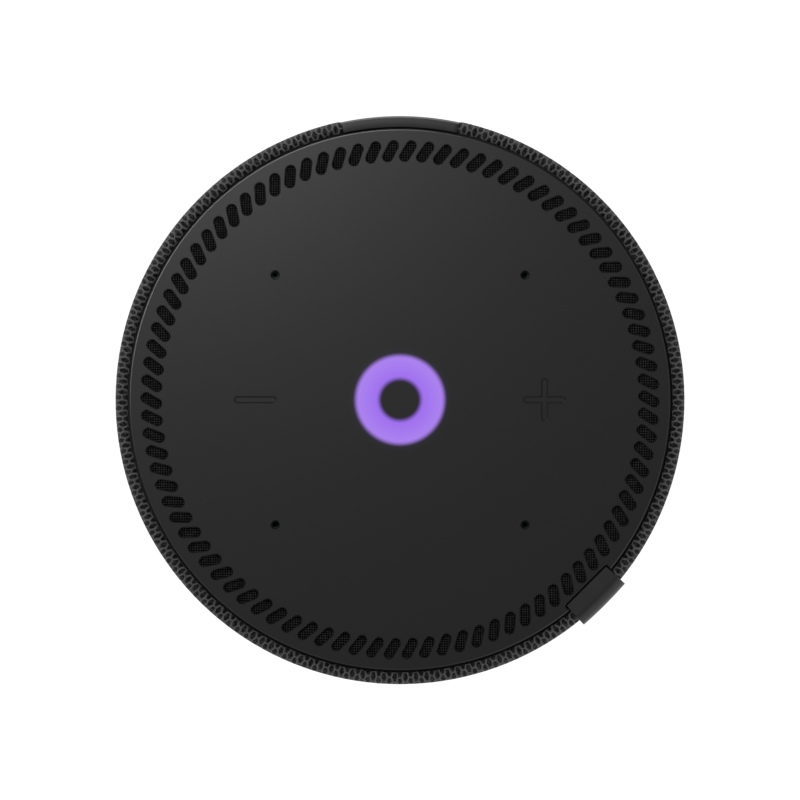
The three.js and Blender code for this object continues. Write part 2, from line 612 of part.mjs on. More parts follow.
// The flat cable climbs from the rear board to the microphone board.
function ribbon() {
  const line = [
    [46.5, 112],
    [46.5, 128],
    [50.5, 134],
    [51, 146],
    [48.5, 152],
    [47, 156],
    [46.6, 160.6],
    [45.4, 161.7],
    [36, 161.7],
  ];
  const { halfWidth, thickness } = RIBBON;
  const outline = prism(bandShape(line, thickness), -halfWidth, halfWidth);
  const ribbonShape = solid(outline.rotateX(Math.PI / 2).rotateZ(Math.PI / 2));
  place("mic_ribbon", ribbonShape, FINISH.white).position.x = RIBBON.x;
}

topPlate();
lightRing();
topElectronics();
topDeck();
fabricSleeve();
rearSpine();
grilleFrame();
sideTag();
base();
screws();
enclosure();
woofer();
radiator();
tweeters();
rearElectronics();
muteButton();
ribbon();

export default hub;
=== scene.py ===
"""The looks of the smart home hub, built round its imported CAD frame.

The frame is in metres, with +Z up and the front towards -Y. Sizes and places below are in millimetres, and a
mesh is scaled once, as it is made. The visible shells are rebuilt with rounded edges, the sleeve is knitted
cell by cell, and each inner CAD node keeps its shape and takes a procedural material from its slot.
"""

import json
import math

import bmesh
import bpy
import numpy as np
from mathutils import Matrix, Vector


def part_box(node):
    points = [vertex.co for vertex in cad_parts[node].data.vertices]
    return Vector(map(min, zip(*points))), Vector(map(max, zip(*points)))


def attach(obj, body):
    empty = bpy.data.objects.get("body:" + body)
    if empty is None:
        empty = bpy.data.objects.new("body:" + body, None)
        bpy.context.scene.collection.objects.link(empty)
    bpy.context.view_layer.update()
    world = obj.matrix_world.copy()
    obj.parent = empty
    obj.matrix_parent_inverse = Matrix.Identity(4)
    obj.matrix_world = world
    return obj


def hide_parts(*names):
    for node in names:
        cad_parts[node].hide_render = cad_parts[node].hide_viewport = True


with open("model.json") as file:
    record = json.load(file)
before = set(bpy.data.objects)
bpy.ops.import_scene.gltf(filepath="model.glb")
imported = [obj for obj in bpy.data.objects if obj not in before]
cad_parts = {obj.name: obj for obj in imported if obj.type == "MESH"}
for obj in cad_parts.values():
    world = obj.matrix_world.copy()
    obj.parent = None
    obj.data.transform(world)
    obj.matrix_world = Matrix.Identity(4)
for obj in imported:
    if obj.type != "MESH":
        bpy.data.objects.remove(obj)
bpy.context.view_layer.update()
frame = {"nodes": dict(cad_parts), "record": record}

MM = 0.001


def reach(node, corner, axis):
    """One coordinate of a CAD node's box: corner 0 is its lowest, 1 its highest."""
    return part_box(node)[corner][axis] / MM


# The frame's own places.
TOP = reach("centre_cap", 1, 2)
PLATE_BASE = reach("top_plate", 0, 2)
PLATE_RADIUS = reach("top_plate", 1, 0)
BODY_RADIUS = reach("fabric_sleeve", 1, 0)
SLEEVE_TOP = reach("fabric_sleeve", 1, 2)
SLEEVE_FOOT = reach("fabric_sleeve", 0, 2)
SPINE_TOP = reach("rear_spine", 1, 2)
SPINE_FOOT = reach("rear_spine", 0, 2)
SPINE_RADIUS = reach("rear_spine", 1, 1)
SPINE_HALF = reach("rear_spine", 1, 0)
BASE_TOP = reach("base_plate", 1, 2)
BASE_FOOT = reach("base_plate", 0, 2)
BASE_RADIUS = reach("base_plate", 1, 0)
FOOT_RADIUS = reach("foot_ring", 1, 0)
FOOT_TOP = reach("foot_ring", 1, 2)
JACK_FACE = reach("power_jack", 1, 1)
JACK_HEIGHT = (reach("power_jack", 0, 2) + reach("power_jack", 1, 2)) / 2
MUTE_FACE = reach("mute_button", 1, 1)
MUTE_HEIGHT = (reach("mute_button", 0, 2) + reach("mute_button", 1, 2)) / 2
MUTE_RADIUS = reach("mute_button", 1, 0)

# Top plate.
SLOTS, SLOT_RING, SLOT_LENGTH, SLOT_WIDTH = 90, 56.8, 5.05, 2.2
SLOT_SLANT, SLOT_PHASE = math.radians(30), math.radians(0.2)
MIC_OFFSET, MIC_RADIUS = 28.5, 0.9
MARK_OFFSET, MARK_LENGTH, MARK_WIDTH = 33.0, 9.9, 1.7
MARK_HEIGHT, MARK_ROOT, MARK_EDGE = 0.35, 0.6, 0.38
WINDOW_RADIUS = 10.9
GLOW_INNER, GLOW_OUTER, GLOW_SOFT, GLOW_HALO = 4.8, 10.1, 0.75, 0.03
PLATE_EDGE, NOTCH_GAP = 0.21, 0.3
SLOT_MESH_INNER = 53.2

# Tag over the rim at the front right.
TAG_ANGLE = math.radians(-45)
TAG_WIDTH, TAG_INNER, TAG_OUTER, TAG_DROP, TAG_BAND = 12.7, 60.2, 66.05, 16.0, 0.6
TAG_BULGE, TAG_FLARE, TAG_BEND, TAG_EDGE = 0.22, 0.6, 2.4, 0.12

# Knitted sleeve: the lip that it turns in to, how far in and down its edges roll, and its cells.
SLEEVE_LIP, LIP_DEPTH, ROLL_DOWN = 62.2, 1.12, 2.0
COLUMN, CELL_HEIGHT, CELL_DEPTH, HEM, LOOSENESS = 1.25, 2.4, 0.5, 0.25, 0.09

# Rear spine: its shell and end flanges, its eased edges, and the well and hole that are let into it.
SPINE_SHELL, SPINE_FLANGE, SPINE_EDGE, SPINE_EASE = 63.5, 1.2, 0.7, 0.25
SPINE_LEDGE, SPINE_RISE = 0.45, 1.2
WELL_BACK, WELL_FRONT, WELL_OUTER, WELL_BORE = 59.7, 64.1, 7.6, 6.4
HOLE_GAP, HOLE_LEAD = 0.25, 0.4

# Mute button, power inlet and its pin.
STEM_RADIUS, STEM_BACK, CAP_DEPTH, CAP_DISH = 2.2, 50.6, 2.4, 0.3
JACK_RADIUS, JACK_BORE, JACK_FLOOR, PIN_RADIUS, PIN_TIP = 5.9, 3.25, 2.3, 1, 0.5

# Base and foot.
BASE_EDGE, FOOT_INNER, FOOT_GROOVE, FOOT_GAP, FOOT_EDGE = 1.4, 46.5, 2.6, 0.3, 0.35

# Facets round a full turn, by the size of the piece.
FINE_TURN, PORT_TURN, PIN_TURN = 192, 96, 48

noise = np.random.default_rng(7)


# --- Meshes -----------------------------------------------------------------------------------------------


def piece(name, vertices, faces, smooth=True):
    """A mesh object from points in millimetres."""
    mesh = bpy.data.meshes.new(name)
    mesh.from_pydata([tuple(c * MM for c in v) for v in vertices], [], faces)
    mesh.validate()
    obj = bpy.data.objects.new(name, mesh)
    bpy.context.scene.collection.objects.link(obj)
    if smooth:
        soften(obj)
    return obj


def soften(obj, angle=35):
    """Smooth shading, with edges sharper than the angle kept crisp."""
    mesh = obj.data
    mesh.shade_smooth()
    mesh.set_sharp_from_angle(angle=math.radians(angle))


def clean(obj, gap=1e-6):
    """Joins points that lie together and turns every face outwards."""
    work = bmesh.new()
    work.from_mesh(obj.data)
    bmesh.ops.remove_doubles(work, verts=work.verts, dist=gap)
    bmesh.ops.recalc_face_normals(work, faces=work.faces)
    work.to_mesh(obj.data)
    work.free()
    return obj


def rounded(points, radius, steps=4, closed=True):
    """A polyline with its corners turned into arcs. A point may carry its own radius as a third number."""
    result = []
    count = len(points)
    for i, point in enumerate(points):
        here = Vector(point[:2])
        size = point[2] if len(point) > 2 else radius
        if size <= 0 or (not closed and i in (0, count - 1)):
            result.append((here.x, here.y))
            continue
        before = Vector(points[i - 1][:2]) - here
        after = Vector(points[(i + 1) % count][:2]) - here
        half = before.angle(after) / 2
        cut = min(size / math.tan(half), before.length * 0.49, after.length * 0.49)
        start, end = here + before.normalized() * cut, here + after.normalized() * cut
        middle = (before.normalized() + after.normalized()).normalized()
        centre = here + middle * (cut / math.cos(half))
        arm = (start - centre).length
        for step in range(steps + 1):
            direction = (start - centre).slerp(end - centre, step / steps, None)
            direction = direction if direction else start - centre
            result.append(tuple(centre + direction.normalized() * arm))
    return result


def turned(name, section, segments=FINE_TURN, axis="Z", at=(0, 0, 0)):
    """A section of (radius, height) points turned about Z, or about Y with height along it.

    A section that touches the axis closes there; one that doesn't closes on itself.
    """
    vertices, rings = [], []
    for radius, height in section:
        if radius < 1e-6:
            rings.append([len(vertices)] * segments)
            vertices.append((0, 0, height))
            continue
        rings.append(list(range(len(vertices), len(vertices) + segments)))
        for i in range(segments):
            turn = 2 * math.pi * i / segments
            vertices.append((radius * math.cos(turn), radius * math.sin(turn), height))
    open_ended = section[0][0] < 1e-6 and section[-1][0] < 1e-6
    pairs = list(zip(rings, rings[1:]))
    if not open_ended:
        pairs.append((rings[-1], rings[0]))
    faces = []
    for low, high in pairs:
        for i in range(segments):
            j = (i + 1) % segments
            corners = [low[i], low[j], high[j], high[i]]
            unique = list(dict.fromkeys(corners))
            if len(unique) > 2:
                faces.append(unique)
    if axis == "Y":
        vertices = [(x, z, -y) for x, y, z in vertices]
    vertices = [(x + at[0], y + at[1], z + at[2]) for x, y, z in vertices]
    return soften_clean(piece(name, vertices, faces, smooth=False))


def turned_along_y(name, section, height, segments=PORT_TURN):
    """A section of (radius, place along Y) points turned about the line along Y at a height."""
    return turned(name, section, segments, "Y", (0, 0, height))


def soften_clean(obj):
    clean(obj)
    soften(obj)
    return obj


def join(target, *others):
    """Makes the other objects part of the target."""
    for other in others:
        work = bmesh.new()
        work.from_mesh(target.data)
        other.data.transform(other.matrix_world)
        work.from_mesh(other.data)
        work.to_mesh(target.data)
        work.free()
        bpy.data.objects.remove(other)
    return target


def combine(target, tool, operation):
    """Applies a boolean of target and tool to the target, and removes the tool."""
    modifier = target.modifiers.new("combine", "BOOLEAN")
    modifier.operation = operation
    modifier.object = tool
    modifier.solver = "EXACT"
    bpy.context.view_layer.update()
    ready = target.evaluated_get(bpy.context.evaluated_depsgraph_get())
    mesh = bpy.data.meshes.new_from_object(ready)
    target.modifiers.clear()
    target.data = mesh
    bpy.data.objects.remove(tool)
    return target


def flat_solid(name, outlines, low, high, edge):
    """A plate between two heights with chamfered edges. The first outline is its outside, the rest holes."""
    curve = bpy.data.curves.new(name, "CURVE")
    curve.dimensions = "2D"
    curve.fill_mode = "BOTH"
    curve.extrude = ((high - low) / 2 - edge) * MM
    curve.bevel_depth = edge * MM
    curve.bevel_resolution = 0
    curve.offset = -edge * MM
    for outline in outlines:
        spline = curve.splines.new("POLY")
        spline.points.add(len(outline) - 1)
        for point, (x, y) in zip(spline.points, outline):
            point.co = (x * MM, y * MM, 0, 1)
        spline.use_cyclic_u = True
    holder = bpy.data.objects.new(name + "_outline", curve)
    bpy.context.scene.collection.objects.link(holder)
    bpy.context.view_layer.update()
    mesh = bpy.data.meshes.new_from_object(holder.evaluated_get(bpy.context.evaluated_depsgraph_get()))
    bpy.data.objects.remove(holder)
    mesh.transform(Matrix.Translation((0, 0, (low + high) / 2 * MM)))
    obj = bpy.data.objects.new(name, mesh)
    bpy.context.scene.collection.objects.link(obj)
    clean(obj)
    soften(obj, 12)
    return obj


def arc(centre, radius, start, end, steps):
    """Points on an arc, angles in degrees."""
    turns = [math.radians(start + (end - start) * i / steps) for i in range(steps + 1)]
    return [(centre[0] + radius * math.cos(t), centre[1] + radius * math.sin(t)) for t in turns]


def circle(centre, radius, count):
    """A closed circle of evenly spaced points."""
    return arc(centre, radius, 0, 360 - 360 / count, count - 1)


def stadium(length, width, steps=10):
    """A bar with round ends along X."""
    half = (length - width) / 2
    return arc((half, 0), width / 2, -90, 90, steps) + arc((-half, 0), width / 2, 90, 270, steps)


def placed(outline, turn=0.0, x=0.0, y=0.0):
    """An outline turned about the origin and then moved."""
    cos, sin = math.cos(turn), math.sin(turn)
    return [(u * cos - v * sin + x, u * sin + v * cos + y) for u, v in outline]


# --- Materials --------------------------------------------------------------------------------------------


class Look:
    """A Principled material, with short calls for the nodes that feed it. Patterns are in millimetres."""

    def __init__(self, name, color, roughness, metallic=0.0, specular=0.5):
        self.material = bpy.data.materials.new(name)
        self.material.use_nodes = True
        self.tree = self.material.node_tree
        self.shader = self.tree.nodes["Principled BSDF"]
        self.color = (*color, 1.0)
        self.shader.inputs["Base Color"].default_value = self.color
        self.shader.inputs["Roughness"].default_value = roughness
        self.shader.inputs["Metallic"].default_value = metallic
        self.shader.inputs["Specular IOR Level"].default_value = specular
        coordinates = self.tree.nodes.new("ShaderNodeTexCoord").outputs["Object"]
        self.place = self.vector("SCALE", coordinates, Scale=1 / MM)

    def add(self, kind, **settings):
        node = self.tree.nodes.new(kind)
        for key, value in settings.items():
            setattr(node, key, value)
        return node

    def feed(self, socket, value):
        if isinstance(value, bpy.types.NodeSocket):
            self.tree.links.new(value, socket)
        elif value is not None:
            socket.default_value = value

    def vector(self, operation, a, b=None, **named):
        node = self.add("ShaderNodeVectorMath", operation=operation)
        self.feed(node.inputs[0], a)
        self.feed(node.inputs[1], b)
        for key, value in named.items():
            self.feed(node.inputs[key], value)
        return node.outputs["Value"] if operation == "LENGTH" else node.outputs["Vector"]

    def math(self, operation, a, b=None, c=None):
        node = self.add("ShaderNodeMath", operation=operation)
        for socket, value in zip(node.inputs, (a, b, c)):
            self.feed(socket, value)
        return node.outputs[0]

    def noise(self, per_mm, detail=3.0, stretch=(1, 1, 1), distortion=0.0):
        node = self.add("ShaderNodeTexNoise")
        self.feed(node.inputs["Vector"], self.vector("MULTIPLY", self.place, stretch))
        node.inputs["Scale"].default_value = per_mm
        node.inputs["Detail"].default_value = detail
        node.inputs["Distortion"].default_value = distortion
        return node.outputs["Fac"]

    def ramp(self, value, low, high, to_low=0.0, to_high=1.0, smooth=True):
        node = self.add("ShaderNodeMapRange", interpolation_type="SMOOTHSTEP" if smooth else "LINEAR")
        for socket, setting in zip(node.inputs, (value, low, high, to_low, to_high)):
            self.feed(socket, setting)
        return node.outputs["Result"]

    def mix(self, factor, a, b):
        node = self.add("ShaderNodeMix", data_type="RGBA")
        self.feed(node.inputs["Factor"], factor)
        self.feed(node.inputs["A"], (*a, 1.0) if isinstance(a, tuple) and len(a) == 3 else a)
        self.feed(node.inputs["B"], (*b, 1.0) if isinstance(b, tuple) and len(b) == 3 else b)
        return node.outputs["Result"]

    def shade(self, color=None, roughness=None):
        self.feed(self.shader.inputs["Base Color"], color)
        self.feed(self.shader.inputs["Roughness"], roughness)

    def bump(self, height, depth):
        node = self.add("ShaderNodeBump")
        node.inputs["Distance"].default_value = depth * MM
        self.feed(node.inputs["Height"], height)
        if self.shader.inputs["Normal"].links:
            self.feed(node.inputs["Normal"], self.shader.inputs["Normal"].links[0].from_socket)
        self.feed(self.shader.inputs["Normal"], node.outputs["Normal"])


def shade_of(color, factor):
    return tuple(c * factor for c in color)


def plastic(name, color, roughness, grain=5.0, depth=0.006, specular=0.35, wear=0.03):
    """Moulded plastic: a fine spark-eroded grain, faint cloudiness and a little handling wear."""
    look = Look(name, color, roughness, specular=specular)
    fine = look.noise(grain, detail=2)
    cloud = look.noise(0.04, detail=2)
    look.shade(
        look.mix(look.ramp(cloud, 0.3, 0.7), shade_of(color, 1 - wear), shade_of(color, 1 + wear)),
        look.ramp(look.noise(0.3), 0.3, 0.7, roughness * (1 - wear), roughness * (1 + wear)),
    )
    look.bump(fine, depth)
    return look


def metal(name, color, roughness, stretch):
    """Metal with drawn or turned marks along one direction."""
    look = Look(name, color, roughness, metallic=1.0)
    marks = look.noise(6.0, detail=4, stretch=stretch)
    look.shade(
        look.mix(look.ramp(marks, 0.3, 0.7), shade_of(color, 0.86), shade_of(color, 1.1)),
        look.ramp(marks, 0.25, 0.75, roughness - 0.08, roughness + 0.12),
    )
    look.bump(marks, 0.01)
    return look


def weave(look, pitch):
    """A plain weave across X and Y: its height, 0 in the holes and 1 on the threads, and its crossings."""
    split = look.add("ShaderNodeSeparateXYZ")
    look.feed(split.inputs[0], look.place)
    waves = [look.math("SINE", look.math("MULTIPLY", axis, math.pi / pitch)) for axis in split.outputs[:2]]
    threads = [look.math("SUBTRACT", 1.0, look.math("POWER", wave, 2.0)) for wave in waves]
    return look.math("MAXIMUM", *threads), look.math("MULTIPLY", *threads)


def cloth(name, color, pitch, depth, roughness=0.9, low=0.1):
    """Woven threads of a colour, with painted shade that darkens their holes to a share of it, and painted
    highlights on their crossings.
    """
    look = Look(name, color, roughness, specular=0.2)
    height, crossing = weave(look, pitch)
    # Painted highlights on the crossings, varied at random, over painted shade in the holes.
    lit_crossings = look.math("MULTIPLY", crossing, look.ramp(look.noise(1.2), 0.25, 0.75, 0.55, 1.1))
    look.shade(look.mix(look.ramp(lit_crossings, 0.2, 0.8), shade_of(color, low), shade_of(color, 1.3)))
    look.bump(height, depth)
    return look


def glow_share(look):
    """How brightly the light ring shines at a point, from its distance to the centre axis."""
    flat = look.vector("MULTIPLY", look.place, (1, 1, 0))
    distance = look.vector("LENGTH", flat)
    outer = look.ramp(distance, GLOW_OUTER - GLOW_SOFT, GLOW_OUTER + GLOW_SOFT, 1.0, 0.0)
    halo = look.ramp(distance, GLOW_OUTER - 1, GLOW_OUTER + 2, GLOW_HALO, 0.0)
    inner = look.ramp(distance, GLOW_INNER - GLOW_SOFT, GLOW_INNER + GLOW_SOFT)
    return distance, look.math("MULTIPLY", look.math("ADD", outer, halo), inner)


def plate_look():
    """The plate's matt plastic, which the ring behind it lights through with soft edges."""
    color, inner_glow, outer_glow = (0.0122, 0.0122, 0.0124), (0.31, 0.13, 0.81), (0.38, 0.20, 0.82)
    look = plastic("plate_plastic", color, 0.30, grain=4.0, depth=0.002, specular=0.5, wear=0.008)
    distance, share = glow_share(look)
    tint = look.mix(look.ramp(distance, GLOW_INNER, GLOW_OUTER, smooth=False), inner_glow, outer_glow)
    look.feed(look.shader.inputs["Emission Color"], tint)
    look.feed(look.shader.inputs["Emission Strength"], share)
    return look


def knit_look():
    """Open honeycomb knit: thin yarn ridges round sunken cells, whose dark colour is painted shade.

    The mesh's "loop" attribute is the place in a cell: X from -1 to 1 across it and Y from -1 to 1 down it.
    """
    yarn = (0.15, 0.15, 0.153)
    look = Look("knit_fabric", yarn, 0.85, specular=0.12)
    look.shader.inputs["Sheen Weight"].default_value = 0.12
    look.shader.inputs["Sheen Roughness"].default_value = 0.5
    place = look.add("ShaderNodeAttribute", attribute_name="loop").outputs["Vector"]
    split = look.add("ShaderNodeSeparateXYZ")
    look.feed(split.inputs[0], look.vector("ABSOLUTE", place))
    across, down = split.outputs[0], split.outputs[1]

    # The distance in millimetres to the cell's nearest side: its flat ends, or its slanting flanks.
    half = CELL_HEIGHT / 2
    flank = math.hypot(1.5 / COLUMN, 0.5 / half)
    to_end = look.math("MULTIPLY", look.math("SUBTRACT", 1.0, down), half)
    share = look.math("ADD", across, look.math("MULTIPLY", down, 0.5))
    to_flank = look.math("DIVIDE", look.math("SUBTRACT", 1.0, share), flank)
    fibre = look.noise(5.0, detail=4, distortion=0.6)
    strand = look.noise(1.5, detail=2)
    distance = look.math("MINIMUM", to_end, to_flank)
    distance = look.math("ADD", distance, look.ramp(fibre, 0.2, 0.8, -0.07, 0.07))
    distance = look.math("ADD", distance, look.ramp(strand, 0.3, 0.7, -0.05, 0.05))
    ridge = look.ramp(distance, 0.10, 0.35, 1.0, 0.0)

    # Fibres run from dark to bright along the ridges, and a few grey fibres cross the cells, which are
    # painted dark as shade.
    shine = look.ramp(fibre, 0.3, 0.7, 0.25, 0.75)
    bright = look.mix(shine, shade_of(yarn, 0.3), shade_of(yarn, 1.9))
    crossing = look.ramp(look.noise(2.2, detail=3), 0.42, 0.68)
    # Painted shade in the cells, with a few lighter fibres across it.
    shaded_cells = look.mix(crossing, (0.004, 0.004, 0.004), (0.06, 0.06, 0.06))
    look.shade(look.mix(ridge, shaded_cells, bright))
    look.bump(ridge, 0.3)
    look.bump(fibre, 0.05)
    return look


def board_look():
    """Solder mask over copper tracks."""
    mask, track = (0.006, 0.05, 0.018), (0.012, 0.10, 0.035)
    look = Look("circuit_board", mask, 0.3)
    cells = look.add("ShaderNodeTexVoronoi", distance="MANHATTAN")
    look.feed(cells.inputs["Vector"], look.place)
    cells.inputs["Scale"].default_value = 0.35
    lines = look.math("FRACT", look.math("MULTIPLY", cells.outputs["Distance"], 5.0))
    copper = look.ramp(lines, 0.45, 0.55)
    look.shade(look.mix(copper, mask, track), look.ramp(look.noise(1.0), 0.3, 0.7, 0.25, 0.4))
    look.bump(copper, 0.03)
    return look


def pulp_look():
    """Pressed paper pulp, dark, with its fibres showing."""
    color = (0.012, 0.012, 0.013)
    look = Look("cone_paper", color, 0.85, specular=0.25)
    fibres = look.noise(1.6, detail=6, stretch=(1, 1, 2), distortion=1.5)
    look.shade(look.mix(look.ramp(fibres, 0.35, 0.65), shade_of(color, 0.6), shade_of(color, 1.8)))
    look.bump(fibres, 0.08)
    return look


def rubber(name, color, roughness, grain, depth, specular=0.3):
    """Moulded rubber with a fine skin and a little dust."""
    look = Look(name, color, roughness, specular=specular)
    skin = look.noise(grain, detail=5)
    dust = look.noise(0.25, detail=4)
    look.shade(
        look.mix(look.ramp(dust, 0.45, 0.8), color, shade_of(color, 1.5)),
        look.ramp(skin, 0.3, 0.7, roughness - 0.07, roughness + 0.07),
    )
    look.bump(skin, depth)
    return look


# By slot, since the CAD frame already holds materials of these names.
looks = {
    "plate_plastic": plate_look(),
    "trim_plastic": plastic("trim_plastic", (0.014, 0.014, 0.0145), 0.5),
    "spine_plastic": plastic("spine_plastic", (0.0135, 0.0135, 0.0137), 0.34, depth=0.002, specular=0.5),
    "knit_fabric": knit_look(),
    "tag_elastomer": rubber(
        "tag_elastomer", (0.0125, 0.0125, 0.0128), 0.42, grain=5.0, depth=0.002, specular=0.6
    ),
    "woven_mesh": cloth("woven_mesh", (0.11, 0.11, 0.11), pitch=0.55, depth=0.12, roughness=0.6, low=0.04),
    "ring_lens": plastic("ring_lens", (0.4, 0.3, 0.7), 0.4),
    "reflector": plastic("reflector", (0.78, 0.78, 0.77), 0.45),
    "black_rubber": rubber("black_rubber", (0.012, 0.012, 0.012), 0.75, grain=3.0, depth=0.02),
    "housing_plastic": plastic("housing_plastic", (0.017, 0.017, 0.018), 0.5, grain=3.0, depth=0.01),
    "circuit_board": board_look(),
    "plated_steel": metal("plated_steel", (0.42, 0.42, 0.43), 0.32, stretch=(1, 1, 0.1)),
    "bare_aluminium": metal("bare_aluminium", (0.6, 0.6, 0.61), 0.35, stretch=(1, 1, 0.05)),
    "ferrite": plastic("ferrite", (0.022, 0.021, 0.02), 0.6, grain=2.0, depth=0.03),
    "cone_paper": pulp_look(),
    "stiffened_cloth": cloth("stiffened_cloth", (0.36, 0.2, 0.075), pitch=0.5, depth=0.15, roughness=0.8),
    "contact_metal": metal("contact_metal", (0.72, 0.48, 0.2), 0.25, stretch=(0.1, 1, 1)),
}

for part in frame["record"]["subparts"]:
    obj = frame["nodes"][part["node"]]
    obj.data.materials.clear()
    obj.data.materials.append(looks[part["material_slot"]].material)


def dress(obj, slot, nodes, body="housing"):
    """Gives a piece its material, its body and the CAD nodes that it stands for."""
    obj.data.materials.clear()
    obj.data.materials.append(looks[slot].material)
    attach(obj, body)
    if nodes:
        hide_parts(*nodes)
    return obj


# --- Top --------------------------------------------------------------------------------------------------


def plate_outline():
    """The plate's round edge, with a square notch where the tag goes in."""
    half, depth = TAG_WIDTH / 2 + NOTCH_GAP, TAG_INNER - NOTCH_GAP
    spread = math.degrees(math.asin(half / PLATE_RADIUS))
    centre = math.degrees(TAG_ANGLE)
    rim = arc((0, 0), PLATE_RADIUS, centre + spread, centre + 360 - spread, 280)
    return rim + placed([(depth, -half), (depth, half)], TAG_ANGLE)


def build_plate():
    slot = stadium(SLOT_LENGTH, SLOT_WIDTH)
    turns = [SLOT_PHASE + 2 * math.pi * i / SLOTS for i in range(SLOTS)]
    slots = [placed(placed(slot, -SLOT_SLANT, SLOT_RING), turn) for turn in turns]
    offsets = [(x, y) for x in (-MIC_OFFSET, MIC_OFFSET) for y in (-MIC_OFFSET, MIC_OFFSET)]
    microphones = [circle(place, MIC_RADIUS, 24) for place in offsets]
    window = circle((0, 0), WINDOW_RADIUS, 72)
    outlines = [plate_outline(), window, *slots, *microphones]
    plate = flat_solid("plate", outlines, PLATE_BASE, TOP, PLATE_EDGE)
    bar = stadium(MARK_LENGTH, MARK_WIDTH)
    root, top = TOP - MARK_ROOT, TOP + MARK_HEIGHT
    minus = flat_solid("minus", [placed(bar, x=-MARK_OFFSET)], root, top, MARK_EDGE)
    cross = cross_outline(MARK_LENGTH, MARK_WIDTH)
    plus = flat_solid("plus", [placed(cross, x=MARK_OFFSET)], root, top, MARK_EDGE)
    join(plate, minus, plus)
    dress(plate, "plate_plastic", ["top_plate"])


def cross_outline(length, width, steps=6):
    """A plus sign with round ends."""
    radius = width / 2
    arm = arc((length / 2 - radius, 0), radius, -90, 90, steps)
    corner = (radius, radius)
    outline = []
    for quarter in range(4):
        outline += placed([*arm, corner], quarter * math.pi / 2)
    return outline


def build_window():
    """The part of the plate over the light ring, let into the plate's chamfered hole without a seam."""
    flange, low = reach("light_ring_lens", 1, 0), reach("light_ring_lens", 0, 2)
    fit, clearance = 0.01, 0.3
    neck, step = WINDOW_RADIUS - fit, PLATE_BASE - clearance
    section = [(0, low), (flange, low), (flange, step), (neck, step), (neck, TOP - PLATE_EDGE)]
    section += [(neck + PLATE_EDGE, TOP), (0, TOP)]
    window = turned("light_window", section)
    dress(window, "plate_plastic", ["light_ring_lens", "centre_cap"])


def build_slot_mesh():
    inner, outer = SLOT_MESH_INNER, reach("slot_mesh_ring", 1, 0)
    low, high = reach("slot_mesh_ring", 0, 2), reach("slot_mesh_ring", 1, 2)
    section = [(inner, low), (outer, low), (outer, high), (inner, high)]
    dress(turned("slot_mesh", rounded(section, 0.1, 2)), "woven_mesh", ["slot_mesh_ring"])


# --- Sleeve -----------------------------------------------------------------------------------------------


def sleeve_profile():
    """The sleeve's outer line from the top lip to the bottom lip, as dense (radius, height) points."""
    roll_in, tuck, steps = BODY_RADIUS - SLEEVE_LIP, 0.02, 40
    crown, heel = SLEEVE_TOP - ROLL_DOWN, SLEEVE_FOOT + ROLL_DOWN
    quarter = [math.pi / 2 * i / steps for i in range(steps + 1)]
    line = [(SLEEVE_LIP - tuck, SLEEVE_TOP - LIP_DEPTH)]
    line += [(SLEEVE_LIP + roll_in * math.sin(t), crown + ROLL_DOWN * math.cos(t)) for t in quarter]
    line += [(SLEEVE_LIP + roll_in * math.cos(t), heel - ROLL_DOWN * math.sin(t)) for t in quarter]
    line += [(SLEEVE_LIP - tuck, SLEEVE_FOOT + LIP_DEPTH)]
    return np.array(line)


def honeycomb(columns, rows):
    """Hexagonal cells in staggered columns, cut straight at all four ends.

    They lie on a lattice of thirds of a column across and halves of a cell down. Returns the lattice points,
    which of them are cell middles, the triangles, and for each triangle's corners their place in the cell.
    """
    numbers, middles, faces, places = {}, [], [], []
    around = [(1, 1), (2, 0), (1, -1), (-1, -1), (-2, 0), (-1, 1)]

    def kept(across, down):
        return min(max(across, 1), 3 * columns), min(max(down, 0), 2 * rows)

    for column in range(columns):
        stagger = column % 2
        for row in range(rows + stagger):
            across, down = 3 * column + 2, 2 * row + 1 - stagger
            edge = [kept(across + u, down + v) for u, v in around]
            for k in range(6):
                corners = [(across, down), edge[k], edge[(k + 1) % 6]]
                if len({spot[0] for spot in corners}) == 1 or len({spot[1] for spot in corners}) == 1:
                    continue
                for spot in corners:
                    if spot not in numbers:
                        numbers[spot] = len(middles)
                        middles.append(spot == (across, down))
                faces.append([numbers[spot] for spot in corners])
                places += [((u - across) / 2, v - down, 0) for u, v in corners]
    return np.array(list(numbers), float), np.array(middles), faces, np.array(places, np.float32)


